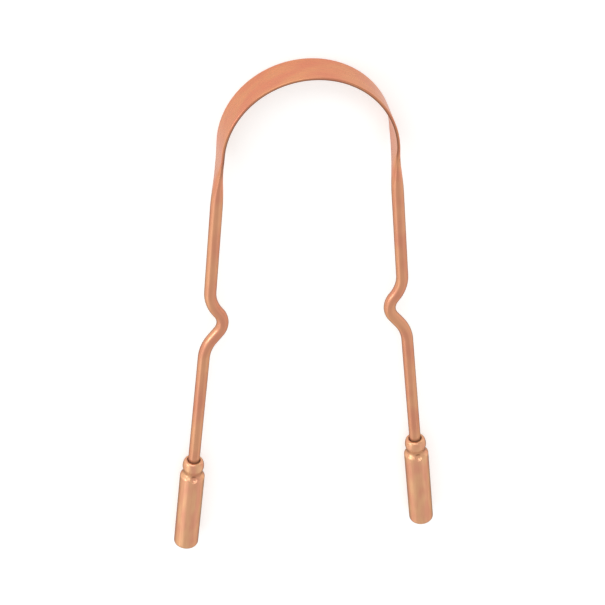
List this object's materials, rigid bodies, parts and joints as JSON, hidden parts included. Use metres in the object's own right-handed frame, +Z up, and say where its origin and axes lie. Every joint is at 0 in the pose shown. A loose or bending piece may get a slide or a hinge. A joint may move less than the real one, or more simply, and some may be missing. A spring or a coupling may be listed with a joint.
{
  "type": "tongue scraper",
  "caption": "U-shaped tongue scraper: a copper wire flattened into an arched scraping blade, with kinked springy legs and closed tube grips.",
  "frame": {"origin": "on the surface that the scraper lies on, under the middle of its bounding box", "axes": "+Y runs from the grips to the arch of the blade, +X to the right with the arch at the top, and +Z up, square to the plane of the two legs"},
  "size_m": [0.0712, 0.1406, 0.0097],
  "materials": {
    "copper_wire": "satin drawn copper, polished on the blade",
    "copper_grip": "satin rolled copper"
  },
  "bodies": {
    "bow": {"scraper_wire": "copper_wire"},
    "left_handle": {"left_grip": "copper_grip"},
    "right_handle": {"right_grip": "copper_grip"}
  },
  "joints": [
    {"name": "left_leg_flex", "type": "hinge", "parent": "bow", "child": "left_handle", "pos_m": [-0.0131, 0.06246, 0.00485], "axis": [0, 0, 1], "range_deg": [-5, 8], "stiffness_Nm_per_rad": 1, "deforming": ["scraper_wire"]},
    {"name": "right_leg_flex", "type": "hinge", "parent": "bow", "child": "right_handle", "pos_m": [0.0131, 0.06246, 0.00485], "axis": [0, 0, -1], "range_deg": [-5, 8], "stiffness_Nm_per_rad": 1, "deforming": ["scraper_wire"]}
  ],
  "couplings": [
    {"joint": "right_leg_flex", "follows": "left_leg_flex", "ratio": 1}
  ]
}
